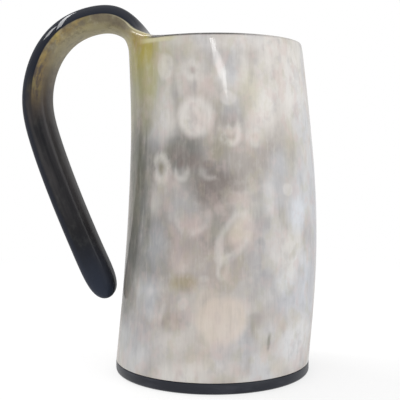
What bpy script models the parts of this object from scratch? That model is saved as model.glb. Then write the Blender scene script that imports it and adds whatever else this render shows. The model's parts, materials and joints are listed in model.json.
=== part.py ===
"""Horn tankard: one ox horn, its rim running on into a strip bent back as the handle, on a stepped base disc.

Metres, +Z up. The origin is the centre of the base's underside, and the handle stands out towards -X.
"""

import math

import bmesh
import bpy
from mathutils import Vector

# The horn shell: outside diameters at the foot, at three gauge heights and at the rim
RIM_HEIGHT = 0.1508
FOOT_DIAMETER = 0.0904
LOWER_DIAMETER = 0.0900
MIDDLE_DIAMETER = 0.0876
UPPER_DIAMETER = 0.0828
RIM_DIAMETER = 0.0798
HORN_BOW = 0.0044
HORN_LEAN = 0.0010
FOOT_WALL = 0.0050
RIM_WALL = 0.0042
RIM_EDGE_DEPTH = 0.0026

# The handle, which is the same horn: where its strip leaves the rim, and how it is bent
ROOT_THICKNESS = 0.0132
ROOT_FADE = 0.0360
NECK_THICKNESS = 0.0104
NECK_WIDTH = 0.0285
ROOT_SHOULDER = 0.0022
ROOT_BEND = 0.0042
HANDLE_RISE = 0.0182
HANDLE_REACH = 0.0506
CREST_OFFSET = 0.0119
OUTERMOST_DROP = 0.0255
GRIP_TOP_EASE = 0.0165
GRIP_TIP_EASE = 0.025
TIP_HEIGHT = 0.0336
TIP_GAP = 0.0020
TIP_ANGLE = 26.0
CREST_THICKNESS = 0.0122
OUTERMOST_THICKNESS = 0.0132
GRIP_THICKNESS = 0.0137
TIP_THICKNESS = 0.0096
CREST_WIDTH = 0.0230
OUTERMOST_WIDTH = 0.0220
GRIP_WIDTH = 0.0190
TIP_WIDTH = 0.0135
CROWN_SHARE = 0.44
CROWN_SHARPNESS = 0.75
UNDER_ROUNDING = 0.0022
TIP_BULGE = 0.0020

# The base disc, its plug inside the horn's turned seat, and the glue bead that seals the joint
BASE_THICKNESS = 0.0048
BASE_EDGE_RADIUS = 0.0014
PLUG_HEIGHT = 0.0060
PLUG_CHAMFER = 0.0008
BEAD_WIDTH = 0.0030
BEAD_HEIGHT = 0.0030
JOINT_GAP = 0.0003

# How finely the forms are divided
RING_SIDES = 16
SUBDIVISIONS = 2
TURNED_SIDES = RING_SIDES * 2**SUBDIVISIONS
ARC_STEPS = 4
GAUGE_SHARES = (0.25, 0.50, 0.75)
NECK_STATIONS = (0.30, 0.64, 1.0)
BOW_STATIONS = (0.34, 0.67, 1.0)
GRIP_STATIONS = (0.25, 0.50, 0.75, 0.90)
CROWN_ANGLES = (0, 53, 90)
CROWN_SETTLE = 1.1
SHARP_EDGE_ANGLE = 40.0
MERGE_DISTANCE = 1e-6

# A subdivided ring settles inside its cage by this share of the cage's radius
RING_SETTLE = (4 + 2 * math.cos(2 * math.pi / RING_SIDES)) / 6
HANDLE_SIDE = RING_SIDES // 2
ROOT_SPREAD = 2
HORN_FOOT = BASE_THICKNESS + JOINT_GAP
SEAT_RADIUS = FOOT_DIAMETER / 2 - FOOT_WALL
PLUG_RADIUS = SEAT_RADIUS - JOINT_GAP
PLUG_TOP = BASE_THICKNESS + PLUG_HEIGHT
SEAT_TOP = PLUG_TOP + BEAD_HEIGHT + 2 * JOINT_GAP


def clear_scene():
    for obj in list(bpy.data.objects):
        bpy.data.objects.remove(obj)


def make_material(name, color, roughness):
    material = bpy.data.materials.new(name)
    material.use_nodes = True
    shader = material.node_tree.nodes["Principled BSDF"]
    shader.inputs["Base Color"].default_value = (*color, 1.0)
    shader.inputs["Roughness"].default_value = roughness
    shader.inputs["Metallic"].default_value = 0.0
    return material


def make_object(name, bm, material):
    """One named node from a closed bmesh, with smooth shading that breaks at its edges."""
    bmesh.ops.recalc_face_normals(bm, faces=bm.faces)
    mesh = bpy.data.meshes.new(name)
    bm.to_mesh(mesh)
    bm.free()
    mesh.shade_smooth()
    mesh.set_sharp_from_angle(angle=math.radians(SHARP_EDGE_ANGLE))
    mesh.materials.append(material)
    obj = bpy.data.objects.new(name, mesh)
    bpy.context.scene.collection.objects.link(obj)
    return obj


def share_of_height(z):
    """0 at the horn's foot, 1 at its rim."""
    return (z - HORN_FOOT) / (RIM_HEIGHT - HORN_FOOT)


def gauge_height(share):
    return HORN_FOOT + share * (RIM_HEIGHT - HORN_FOOT)


def axis_x(z):
    """The horn's centreline bows sideways, away from the handle, and leans a little."""
    t = share_of_height(z)
    return HORN_LEAN * t + HORN_BOW * 4 * t * (1 - t)


def outer_radius(z):
    """Outside radius, straight from one gauge height to the next."""
    diameters = (FOOT_DIAMETER, LOWER_DIAMETER, MIDDLE_DIAMETER, UPPER_DIAMETER, RIM_DIAMETER)
    gauges = (0.0, *GAUGE_SHARES, 1.0)
    t = min(max(share_of_height(z), 0.0), 1.0)
    above = next(i for i in range(1, len(gauges)) if t <= gauges[i])
    way = (t - gauges[above - 1]) / (gauges[above] - gauges[above - 1])
    diameter = diameters[above - 1] + (diameters[above] - diameters[above - 1]) * way
    return diameter / 2


def wall(z):
    return FOOT_WALL + (RIM_WALL - FOOT_WALL) * share_of_height(z)


def root_swell(side, depth):
    """Extra wall inside the rim where the handle's strip leaves it, fading round the rim and downwards."""
    across = max(0.0, 1 - (abs(side - HANDLE_SIDE) / ROOT_SPREAD) ** 2)
    fade = max(0.0, 1 - depth / ROOT_FADE)
    return (ROOT_THICKNESS - RIM_WALL) * across * fade


def ring(bm, z, radius_at, center_x):
    """One cage ring, whose radius may change from side to side."""
    points = []
    for side in range(RING_SIDES):
        angle = 2 * math.pi * side / RING_SIDES
        reach = radius_at(side) / RING_SETTLE
        points.append(bm.verts.new((center_x + reach * math.cos(angle), reach * math.sin(angle), z)))
    return points


def outer_ring(bm, z):
    return ring(bm, z, lambda side: outer_radius(z), axis_x(z))


def inner_ring(bm, z):
    depth = RIM_HEIGHT - z
    return ring(bm, z, lambda side: outer_radius(z) - wall(z) - root_swell(side, depth), axis_x(z))


def rim_top_ring(bm):
    """The ring half way across the rim's flat."""
    def radius_at(side):
        return outer_radius(RIM_HEIGHT) - 0.5 * (RIM_WALL + root_swell(side, 0.0))

    return ring(bm, RIM_HEIGHT, radius_at, axis_x(RIM_HEIGHT))


def seat_ring(bm, z):
    """The inside of the foot is turned true for the base's plug."""
    return ring(bm, z, lambda side: SEAT_RADIUS, 0.0)


def shape_root(rim_outer, rim_inner):
    """The strip leaves the rim in a curve: the outside starts to bend early, and the inside climbs."""
    rim_outer[HANDLE_SIDE].co.z -= ROOT_BEND
    for side in range(HANDLE_SIDE - ROOT_SPREAD + 1, HANDLE_SIDE + ROOT_SPREAD):
        rim_inner[side].co.z += ROOT_SHOULDER


def wall_x(z):
    """The horn's outside at a height, on the handle's side."""
    return axis_x(z) - outer_radius(z)


def handle_spine():
    """Stations along the strip's middle line: point, direction, thickness, width, all in the XZ plane.

    The handle's reach and the gap at its tip are both measured from the horn's wall at the same height.
    """
    rim_x = wall_x(RIM_HEIGHT)
    root = Vector((rim_x + NECK_THICKNESS / 2, RIM_HEIGHT))
    crest = Vector((rim_x - CREST_OFFSET, RIM_HEIGHT + HANDLE_RISE - CREST_THICKNESS / 2))
    outermost_z = RIM_HEIGHT - OUTERMOST_DROP
    outermost = Vector((wall_x(outermost_z) - HANDLE_REACH + OUTERMOST_THICKNESS / 2, outermost_z))
    tip_x = wall_x(TIP_HEIGHT) - TIP_GAP - TIP_THICKNESS / 2
    tip = Vector((tip_x, TIP_HEIGHT + TIP_BULGE / 2))
    tip_lean = math.radians(TIP_ANGLE)
    tip_way = Vector((math.sin(tip_lean), -math.cos(tip_lean)))
    stations = []

    # Up from the rim and over to the crest, a quarter of an ellipse
    over = root.x - crest.x
    up = crest.y - root.y
    for share in NECK_STATIONS:
        turn = share * math.pi / 2
        point = Vector((crest.x + over * math.cos(turn), root.y + up * math.sin(turn)))
        way = Vector((-over * math.sin(turn), up * math.cos(turn)))
        past_neck = (share - NECK_STATIONS[0]) / (1 - NECK_STATIONS[0])
        thickness = NECK_THICKNESS + (CREST_THICKNESS - NECK_THICKNESS) * past_neck
        width = NECK_WIDTH + (CREST_WIDTH - NECK_WIDTH) * past_neck
        stations.append((point, way.normalized(), thickness, width))

    # From the crest out and down to the outermost point, another quarter
    out = crest.x - outermost.x
    down = crest.y - outermost.y
    for share in BOW_STATIONS:
        turn = share * math.pi / 2
        point = Vector((crest.x - out * math.sin(turn), outermost.y + down * math.cos(turn)))
        way = Vector((-out * math.cos(turn), -down * math.sin(turn)))
        thickness = CREST_THICKNESS + (OUTERMOST_THICKNESS - CREST_THICKNESS) * share
        width = CREST_WIDTH + (OUTERMOST_WIDTH - CREST_WIDTH) * share
        stations.append((point, way.normalized(), thickness, width))

    # The grip slants back down towards the body, one cubic curve
    leave = outermost + Vector((0, -GRIP_TOP_EASE))
    arrive = tip - tip_way * GRIP_TIP_EASE
    for t in GRIP_STATIONS:
        s = 1 - t
        point = s**3 * outermost + 3 * s * s * t * leave + 3 * s * t * t * arrive + t**3 * tip
        way = s * s * (leave - outermost) + 2 * s * t * (arrive - leave) + t * t * (tip - arrive)
        thickness = OUTERMOST_THICKNESS + (GRIP_THICKNESS - OUTERMOST_THICKNESS) * min(1.0, 2 * t)
        width = OUTERMOST_WIDTH + (GRIP_WIDTH - OUTERMOST_WIDTH) * t
        stations.append((point, way.normalized(), thickness, width))

    stations.append((tip, tip_way, TIP_THICKNESS, TIP_WIDTH))
    return stations


def handle_section(point, way, thickness, width):
    """Twelve cage points round the strip: rounded under the grip, flat sides, crowned on the outer face."""
    outward = Vector((way.y, -way.x))
    half = width / 2
    crown = CROWN_SHARE * thickness
    under = -thickness / 2
    edge = thickness / 2 - crown
    right_half = [
        (0.0, under),
        (half / 2, under),
        (half - UNDER_ROUNDING / 2, under + UNDER_ROUNDING / 2),
        (half, (under + edge) / 2),
    ]
    for degrees in CROWN_ANGLES:
        angle = math.radians(degrees)
        right_half.append((half * math.cos(angle), edge + CROWN_SETTLE * crown * math.sin(angle)))
    left_half = [(-across, out) for across, out in right_half[1:-1]]
    section = [*reversed(right_half[:3]), *left_half, *reversed(right_half[3:])]
    points = []
    for across, out in section:
        place = point + outward * out
        points.append(Vector((place.x, across, place.y)))
    return points


def settled(before, here, after):
    """Cage points pushed out by what the subdivision pulls in, so that the surface keeps the sizes above."""
    return [b - (a - 2 * b + c) / 6 for a, b, c in zip(before, here, after)]


def bridge(bm, first, second):
    """Quads between two loops of the same number of points."""
    for i in range(len(first)):
        j = (i + 1) % len(first)
        bm.faces.new((first[i], first[j], second[j], second[i]))


def crease(bm, points, closed, sharpness):
    layer = bm.edges.layers.float.get("crease_edge")
    last = len(points) if closed else len(points) - 1
    for i in range(last):
        edge = bm.edges.get((points[i], points[(i + 1) % len(points)]))
        edge[layer] = sharpness


def add_handle(bm, rim_outer, rim_top, rim_inner):
    """Extrudes the rim's own faces along the spine, so that body and handle stay one piece of horn."""
    sides = range(HANDLE_SIDE - ROOT_SPREAD, HANDLE_SIDE + ROOT_SPREAD + 1)
    root = [rim_outer[side] for side in sides]
    root.append(rim_top[sides[-1]])
    root += [rim_inner[side] for side in reversed(sides)]
    root.append(rim_top[sides[0]])

    stations = handle_spine()
    sections = [[vert.co.copy() for vert in root]]
    sections += [handle_section(*station) for station in stations]
    cage = [settled(*three) for three in zip(sections[1:], sections[2:], sections[3:])]
    loops = [root]
    for section in (sections[1], *cage, sections[-1]):
        loops.append([bm.verts.new(place) for place in section])
    for before, after in zip(loops, loops[1:]):
        bridge(bm, before, after)

    # Two rows of faces close the rounded tip
    under = loops[-1][0:5]
    crown = loops[-1][10:5:-1]
    bulge = Vector((stations[-1][1].x, 0.0, stations[-1][1].y)) * TIP_BULGE
    middle = [loops[-1][11]]
    for low, high in zip(under[1:4], crown[1:4]):
        middle.append(bm.verts.new((low.co + high.co) / 2 + bulge))
    middle.append(loops[-1][5])
    for below, above in ((under, middle), (middle, crown)):
        for i in range(4):
            bm.faces.new((below[i], below[i + 1], above[i + 1], above[i]))

    # The crown's two edges run the length of the strip and soften before the tip
    for corner in (6, 10):
        crease(bm, [loop[corner] for loop in loops[1:-2]], False, CROWN_SHARPNESS)


def make_horn_body(material):
    """The hollow shell with its integral handle, open at the rim and at the foot."""
    bm = bmesh.new()
    bm.edges.layers.float.new("crease_edge")
    gauges = [gauge_height(share) for share in GAUGE_SHARES]
    edge_z = RIM_HEIGHT - RIM_EDGE_DEPTH
    foot_outer = outer_ring(bm, HORN_FOOT)
    outside = [outer_ring(bm, z) for z in (*gauges, edge_z)]
    rim_outer = outer_ring(bm, RIM_HEIGHT)
    rim_top = rim_top_ring(bm)
    rim_inner = inner_ring(bm, RIM_HEIGHT)
    inside = [inner_ring(bm, z) for z in (edge_z, *reversed(gauges))]
    seat_top = seat_ring(bm, SEAT_TOP)
    foot_inner = seat_ring(bm, HORN_FOOT)
    shape_root(rim_outer, rim_inner)

    rings = [foot_outer, *outside, rim_outer, rim_top, rim_inner, *inside, seat_top, foot_inner, foot_outer]
    root_sides = range(HANDLE_SIDE - ROOT_SPREAD, HANDLE_SIDE + ROOT_SPREAD)
    for below, above in zip(rings, rings[1:]):
        on_rim_flat = above is rim_top or below is rim_top
        for side in range(RING_SIDES):
            if on_rim_flat and side in root_sides:
                continue
            after = (side + 1) % RING_SIDES
            bm.faces.new((below[side], below[after], above[after], above[side]))
    for side in root_sides[1:]:
        bm.verts.remove(rim_top[side])
    add_handle(bm, rim_outer, rim_top, rim_inner)
    for points in (foot_outer, foot_inner, seat_top):
        crease(bm, points, True, 1.0)

    obj = make_object("horn_body", bm, material)
    subdivision = obj.modifiers.new("rounding", "SUBSURF")
    subdivision.levels = SUBDIVISIONS
    subdivision.render_levels = SUBDIVISIONS
    return obj


def turned(name, profile, closed, material):
    """A solid of revolution about the Z axis from (radius, height) points, closed or ending on the axis."""
    bm = bmesh.new()
    points = [bm.verts.new((radius, 0.0, z)) for radius, z in profile]
    pairs = list(zip(points, points[1:]))
    if closed:
        pairs.append((points[-1], points[0]))
    edges = [bm.edges.new(pair) for pair in pairs]
    up = (0, 0, 1)
    middle = (0, 0, 0)
    turn = 2 * math.pi
    bmesh.ops.spin(bm, geom=points + edges, axis=up, cent=middle, angle=turn, steps=TURNED_SIDES, use_merge=True)
    bmesh.ops.remove_doubles(bm, verts=bm.verts, dist=MERGE_DISTANCE)
    return make_object(name, bm, material)


def arc(center, radius, start, end):
    """Points on a profile's rounded corner, from one angle in degrees to another."""
    points = []
    for step in range(ARC_STEPS + 1):
        angle = math.radians(start + (end - start) * step / ARC_STEPS)
        points.append((center[0] + radius * math.cos(angle), center[1] + radius * math.sin(angle)))
    return points


def make_base_disc(material):
    """A stepped disc: the band flush with the horn's outside, and the plug that stands in its seat."""
    flange = FOOT_DIAMETER / 2
    corner = (flange - BASE_EDGE_RADIUS, BASE_EDGE_RADIUS)
    profile = [(0.0, 0.0)]
    profile += arc(corner, BASE_EDGE_RADIUS, -90, 0)
    profile += [
        (flange, BASE_THICKNESS),
        (PLUG_RADIUS, BASE_THICKNESS),
        (PLUG_RADIUS, PLUG_TOP - PLUG_CHAMFER),
        (PLUG_RADIUS - PLUG_CHAMFER, PLUG_TOP),
        (0.0, PLUG_TOP),
    ]
    return turned("base_disc", profile, False, material)


def make_glue_bead(material):
    """A fillet of glue in the corner between the plug's top and the seat's wall, hollowed by a wiped finger."""
    wall_r = SEAT_RADIUS - JOINT_GAP
    foot_z = PLUG_TOP + JOINT_GAP
    profile = [(wall_r, foot_z + BEAD_HEIGHT), (wall_r, foot_z), (wall_r - BEAD_WIDTH, foot_z)]
    for step in range(1, ARC_STEPS):
        angle = math.radians(90 * step / ARC_STEPS)
        inward = BEAD_WIDTH * (1 - math.sin(angle))
        height = BEAD_HEIGHT * (1 - math.cos(angle))
        profile.append((wall_r - inward, foot_z + height))
    return turned("glue_bead", profile, True, material)


def main():
    clear_scene()
    pale_horn = make_material("polished_pale_horn", (0.62, 0.58, 0.53), 0.25)
    dark_horn = make_material("dark_horn", (0.025, 0.025, 0.03), 0.35)
    clear_glue = make_material("clear_glue", (0.55, 0.42, 0.20), 0.20)
    make_horn_body(pale_horn)
    make_base_disc(dark_horn)
    make_glue_bead(clear_glue)


main()
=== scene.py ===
"""Horn tankard: polished natural horn, its dark base and the glue that seals it, in a plain white studio.

Laid out as an add-on and run as a script. Metres, +Z up, in the same frame as the solids it dresses.
"""

import functools
import json
import math

import bpy
from mathutils import Matrix, Vector
from mathutils.geometry import interpolate_bezier

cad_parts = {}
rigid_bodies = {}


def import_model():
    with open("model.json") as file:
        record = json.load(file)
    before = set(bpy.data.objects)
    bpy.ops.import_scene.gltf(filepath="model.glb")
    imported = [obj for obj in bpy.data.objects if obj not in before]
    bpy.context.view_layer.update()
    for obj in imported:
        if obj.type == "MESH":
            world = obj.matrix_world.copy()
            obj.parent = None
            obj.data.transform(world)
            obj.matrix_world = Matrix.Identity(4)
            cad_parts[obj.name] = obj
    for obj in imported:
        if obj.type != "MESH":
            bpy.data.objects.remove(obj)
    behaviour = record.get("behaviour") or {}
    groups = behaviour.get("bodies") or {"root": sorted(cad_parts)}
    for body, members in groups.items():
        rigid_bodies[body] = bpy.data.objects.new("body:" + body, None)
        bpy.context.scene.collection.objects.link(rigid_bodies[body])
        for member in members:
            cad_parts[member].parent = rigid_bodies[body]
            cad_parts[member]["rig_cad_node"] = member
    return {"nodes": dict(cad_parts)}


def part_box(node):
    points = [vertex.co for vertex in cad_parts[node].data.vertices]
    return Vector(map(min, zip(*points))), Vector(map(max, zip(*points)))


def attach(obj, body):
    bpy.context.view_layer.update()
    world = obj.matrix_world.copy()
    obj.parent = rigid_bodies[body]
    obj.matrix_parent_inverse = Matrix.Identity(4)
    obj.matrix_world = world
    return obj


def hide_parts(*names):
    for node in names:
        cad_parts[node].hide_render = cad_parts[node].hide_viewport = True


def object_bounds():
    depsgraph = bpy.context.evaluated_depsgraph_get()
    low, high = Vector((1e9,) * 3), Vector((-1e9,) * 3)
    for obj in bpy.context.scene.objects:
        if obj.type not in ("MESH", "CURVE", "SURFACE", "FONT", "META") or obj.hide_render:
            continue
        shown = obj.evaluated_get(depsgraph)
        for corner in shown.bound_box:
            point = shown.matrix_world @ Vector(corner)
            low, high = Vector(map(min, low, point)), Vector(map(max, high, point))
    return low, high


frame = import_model()
SOLIDS_LOW, SOLIDS_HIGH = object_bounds()

bl_info = {
    "name": "Horn tankard",
    "version": (1, 0, 0),
    "blender": (4, 5, 0),
    "location": "3D View > Sidebar > Tankard",
    "description": "Dresses a horn tankard: natural horn, dark base, glue bead and studio",
    "category": "Object",
}

HORN_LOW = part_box("horn_body")[0]
BASE_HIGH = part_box("base_disc")[1]
MILLIMETRES = 1000.0

# How pieces are merged, paired into quads, creased, rounded and shaded
MERGE_DISTANCE = 1e-6
QUAD_EVENNESS = 1.6
CREASE_ANGLE = math.radians(60)
ROUNDING_LEVELS = 2
SHARP_ANGLE = math.radians(40)

# The handle's middle line: its length in millimetres, and the points on each of its three bends
STRIP_LENGTH = 176.0
LINE_POINTS = (24, 40, 60)
# A quarter of an ellipse drawn as one Bezier segment
QUARTER = 0.5523
# How the line leaves its outermost point and comes in at the tip
LEAVE_PULL = (0.0, 0.0, -0.0165)
ARRIVE_PULL = (-0.01096, 0.0, 0.02247)

# The wall's outside, a little generous: its radius at the foot, and its taper up to a height
WALL_RADIUS = 0.0456
WALL_TAPER = 0.0054
WALL_HEIGHT = 0.15
# Height over the rim from which all is handle, and the outward turn of a face that is all dark layer
ABOVE_RIM = 0.0003
CROWN_TURN = 0.5
# Share of the handle's length that counts as its root, and how far the rest is polished out
PAST_ROOT = 0.06
HANDLE_POLISH = 0.15
EASING_FACTOR = 0.5
EASING_STEPS = 60
# Height over which the unevenness fades at the foot and at the rim
SWELL_FADE = 0.022

BASE_SIDES = 128
FACES_UP = 0.9
# How far outside the plug the band's edge is looked for
PAST_PLUG = 0.001

FLOOR_SIZE = 8.0
FLOOR_CUTS = 7
# Distances in millimetres between which the floor goes from partly to all white, and that first share
FLOOR_NEAR = 90
FLOOR_FAR = 420
NEAR_WHITE = 0.70
CAMERA_PLACE = (-0.0058, -0.370, 0.1002)
# Degrees that the camera looks down
CAMERA_PITCH = 3.266
SENSOR_WIDTH = 36.0
FOCAL_LENGTH = 71.28
CLIP_START = 0.01
KEY_PLACE = (1.3, -1.0, 0.75)
KEY_SIZE = (1.2, 1.2)
OVERHEAD_PLACE = (0.0, 0.0, 1.7)
OVERHEAD_SIZE = (2.4, 2.4)
# Slim lamps that show as glints: name, first and last place in the picture, width, power
GLINTS = (
    ("bar_top_glint", (0.5265, 0.095), (0.5390, 0.137), 0.090, 0.42),
    ("bar_glint", (0.5390, 0.137), (0.5690, 0.208), 0.038, 0.34),
    ("crown_glint", (0.177, 0.036), (0.148, 0.070), 0.090, 4.0),
    ("bow_glint", (0.137, 0.068), (0.113, 0.096), 0.150, 1.6),
)
GLINT_DISTANCE = 1.0


def paint(red, green, blue):
    """A colour as read on a screen, 0 to 255, in the linear values that shaders use."""
    linear = []
    for level in (red / 255, green / 255, blue / 255):
        linear.append(level / 12.92 if level <= 0.04045 else ((level + 0.055) / 1.055) ** 2.4)
    return (*linear, 1.0)


def clamped(value):
    """A value, held between 0 and 1."""
    return min(1.0, max(0.0, value))


def length_property(name, description, default):
    """A size in metres, shown to a hundredth of a millimetre."""
    return bpy.props.FloatProperty(
        name=name, description=description, default=default, unit="LENGTH", precision=5
    )


def light_property(name, description, default, unit="NONE"):
    """How strongly something shines."""
    return bpy.props.FloatProperty(name=name, description=description, default=default, min=0.0, unit=unit)


def colour_property(name, description, default):
    """A colour, its default in linear values."""
    return bpy.props.FloatVectorProperty(
        name=name, description=description, default=default, size=4, min=0.0, max=1.0, subtype="COLOR"
    )


# Marks in the horn: distance round it from the front, height, half width, half height (mm), strength
GREY_CLOUDS = (
    (-10, 66, 36, 40, 0.75),
    (6, 98, 40, 24, 0.80),
    (16, 100, 15, 18, 0.90),
    (-30, 84, 15, 42, 0.80),
    (-8, 117, 28, 16, 0.80),
    (18, 86, 14, 13, 0.65),
    (-14, 20, 20, 12, 0.64),
    (-6, 40, 32, 18, 0.60),
    (-36, 118, 8, 12, 0.70),
    (-22, 136, 20, 18, 0.36),
    (16, 58, 13, 24, 0.90),
    (70, 60, 26, 40, 0.60),
    (104, 110, 26, 24, 0.60),
    (-100, 90, 30, 34, 0.60),
    (126, 30, 20, 24, 0.50),
)
SLATE_CLOUDS = (
    (-20, 101, 16, 13, 0.77),
    (-8, 100, 16, 12, 0.34),
    (-7, 89, 16, 14, 0.68),
    (-22, 105, 9, 7, 0.74),
    (1.5, 117, 8, 7, 0.26),
    (-38, 111, 6, 8, 0.45),
    # The next nine darken the body's left part, below the handle, from the foot up
    (-48, 94, 18, 30, 0.84),
    (-44, 78, 15, 30, 0.80),
    (-36, 62, 17, 28, 0.66),
    (-28, 58, 9, 16, 0.48),
    (-34, 100, 14, 14, 0.62),
    (-37, 98, 8, 17, 0.56),
    (-48, 60, 15, 30, 0.84),
    (-54, 40, 18, 28, 0.72),
    (-50, 20, 18, 22, 0.34),
    (-21.5, 126, 2.6, 12, 0.24),
    (13, 32.5, 4.0, 2.6, 0.22),
    (12.5, 28, 4.0, 8, 0.24),
    (14, 53.5, 3.6, 1.8, 0.28),
    (15, 63.5, 3.0, 2.4, 0.38),
    (16, 50.5, 2.6, 3.8, 0.40),
    (-13, 81, 15, 12, 0.33),
    (7, 91, 13, 13, 0.20),
    (-3, 70, 10, 14, 0.42),
    (1.6, 62.5, 2.8, 4.8, 0.26),
    (12, 59, 10, 10, 0.18),
    (22, 97, 15, 18, 0.21),
    (29, 80, 13, 18, 0.14),
    (15, 74, 7, 8, 0.34),
    (16, 47, 8, 10, 0.30),
    (40, 44, 8, 10, 0.24),
    (-34, 37, 9, 10, 0.38),
    (18, 86, 9, 10, 0.32),
    (3.4, 113.4, 1.8, 2.6, 0.24),
    (56, 84, 12, 44, 0.12),
    (78, 70, 14, 34, 0.50),
    (112, 102, 20, 22, 0.52),
    (-96, 76, 14, 34, 0.50),
)
SLATE_STREAKS = (
    (21.4, 21, 1.3, 4.8, 0.70),
    (-36, 74, 1.5, 18, 0.36),
    (-39, 104, 1.3, 12, 0.36),
    (-12, 128, 1.2, 8, 0.14),
    (1.6, 63.4, 2.4, 4.6, 0.10),
    (2.2, 107.7, 2.4, 1.3, 0.16),
    (96, 40, 1.5, 7, 0.60),
)
MAUVE_SPOTS = (
    (-4, 86, 13, 13, 0.42),
    (-3, 128, 6, 7, 0.16),
    (-9.5, 87, 5, 4.8, 0.46),
    (-19.5, 29.5, 8, 6, 0.38),
    (-16.5, 46.7, 7.5, 5.5, 0.26),
    (-20.5, 101, 6, 4.5, 0.38),
    (-13, 97, 6, 5, 0.40),
    (-7.5, 96, 3.8, 3, 0.50),
    (-19, 97, 3.0, 3, 0.50),
    (-14.0, 118, 2.6, 3.0, 0.14),
    (-12, 135.6, 1.8, 2, 0.30),
    (-17, 66, 12, 13, 0.26),
    (13, 107.6, 1.8, 2.0, 0.12),
    (90, 96, 6, 7, 0.40),
    (-115, 44, 7, 8, 0.40),
)
OLIVE_STAINS = (
    (12.5, 126.5, 6, 12, 0.26),
    (-20, 146, 13, 8, 0.22),
    (-29, 143, 13, 13, 0.42),
    (-37, 136, 8, 16, 0.46),
    (-26, 137, 9, 12, 0.16),
    (-3, 101.5, 5, 6, 0.14),
    (-29.6, 94.6, 2.0, 3.4, 0.14),
    (-16.5, 46.7, 7.0, 5, 0.40),
    (29, 10.3, 7, 4, 0.26),
    (-38, 148, 14, 15, 1.00),
    (-27, 150.5, 12, 4, 0.60),
    (-52, 148, 22, 18, 0.85),
    (-83, 146, 24, 22, 0.75),
    (-97, 149, 14, 13, 0.80),
    (32, 100, 6, 14, 0.14),
    (100, 20, 9, 6, 0.30),
)
MOSS_STAINS = (
    (-46, 136, 16, 20, 0.72),
    (-36, 133, 10, 18, 0.60),
    (-40, 118, 8, 12, 0.36),
    (-58, 126, 14, 24, 0.50),
    (-50, 92, 12, 32, 0.12),
    (-93, 130, 11, 26, 0.45),
)
AMBER_STAINS = (
    (-44, 151, 9, 7, 0.70),
    (-91, 151, 9, 7, 0.60),
)
TAN_DISCS = (
    (0.2, 31.6, 11.6, 11.2, 0.66),
    (-4, 38, 8, 7, 0.32),
    (-7, 13.6, 6, 3.8, 0.22),
    (-70, 36, 8, 9, 0.55),
    (118, 64, 7, 10, 0.50),
)
COOL_CLOUDS = (
    (44, 115, 14, 16, 0.60),
    (18, 56, 12, 26, 0.40),
    (22, 84, 10, 14, 0.50),
    (46, 42, 15, 30, 0.70),
    (-40, 18, 22, 16, 0.45),
    (-30, 62, 8, 14, 0.40),
    (-32, 107, 7, 8, 0.26),
    (-18, 76, 10, 14, 0.30),
    (-33, 38, 9, 13, 0.60),
    (30, 38, 12, 10, 0.65),
    (22, 42, 8, 12, 0.40),
    (38, 84, 12, 22, 0.60),
    (26, 96, 9, 10, 0.55),
    (4, 120, 7, 7, 0.30),
    (56, 80, 20, 46, 0.75),
    (-84, 112, 11, 20, 0.35),
)
PALE_DISCS = (
    (-12.5, 116.2, 8.2, 9.4, 0.74),
    (2.4, 123.8, 4.2, 3.4, 0.38),
    (-25.4, 137, 4.8, 6.0, 0.45),
    (13.2, 107.6, 4.4, 4.6, 0.26),
    (29, 85.7, 3.0, 2.8, 0.30),
    (-16.3, 38, 2.8, 2.6, 0.26),
    (72, 44, 8, 10, 0.50),
    (-104, 108, 8, 11, 0.50),
    (124, 34, 7, 7, 0.50),
)
BLUSH_CLOUDS = (
    (-13.5, 70.5, 8.0, 5.4, 0.56),
    (-19, 57, 7, 8, 0.55),
    (5.5, 82, 6, 3.6, 0.55),
    (-10.5, 115, 5, 6, 0.50),
    (13.2, 107.6, 2.8, 3.0, 0.70),
    (-8, 128, 6, 7, 0.40),
    (-1, 20, 9, 6, 0.40),
    (76, 98, 9, 8, 0.50),
    (-112, 72, 9, 8, 0.50),
)
PALE_CLOUDS = (
    (20.4, 117.5, 10, 12, 0.50),
    (-27.5, 114, 8, 12, 0.40),
    (19, 83.4, 4.6, 9, 0.24),
    (4, 147, 26, 5, 0.44),
    (23, 61, 8, 13, 0.32),
    # This one lightens the body low down towards its right edge
    (38, 18, 17, 18, 0.66),
    (36, 56, 9, 9, 0.25),
    (-2.8, 60.5, 2.2, 8, 0.20),
    (-8, 48.8, 2.6, 2.0, 0.20),
    (34, 132, 20, 26, 0.68),
    (2, 10, 13, 7, 0.40),
    (-14, 8, 14, 6, 0.30),
    (-33, 80, 6, 9, 0.36),
    (-20, 22, 12, 9, 0.36),
    (88, 118, 10, 12, 0.55),
    (-76, 66, 8, 10, 0.50),
)
FROST_CLOUDS = (
    (35, 75, 9, 10, 0.70),
    (38, 46, 10, 20, 0.40),
    # This one lightens the body low down towards its right edge
    (36, 18, 14, 14, 0.45),
    (21, 25, 7, 7, 0.36),
    (30, 46, 9, 7, 0.36),
    (82, 24, 12, 14, 0.40),
    (-88, 40, 12, 16, 0.40),
)
PALE_RINGS = (
    (-13, 135.6, 3.0, 3.3, 0.44),
    (13.2, 107.6, 3.3, 3.6, 0.14),
    (-29.4, 94.6, 3.7, 4.8, 0.58),
    (-0.5, 53, 1.8, 3.4, 0.30),
    (-29.4, 37, 4.6, 6.2, 0.32),
    (66, 104, 3.4, 4, 0.50),
    (84, 62, 4.4, 6, 0.50),
    (108, 84, 3.2, 3.6, 0.50),
    (-78, 92, 4, 5.4, 0.50),
    (-100, 60, 3.6, 4.2, 0.50),
    (-122, 84, 4.4, 5, 0.50),
)
# Breadth of a ring's line in millimetres, and the most of a small mark that it takes
RING_LINE = 3.6
CUP_LINE = 2.7
RING_LINE_MOST = 0.85
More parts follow.
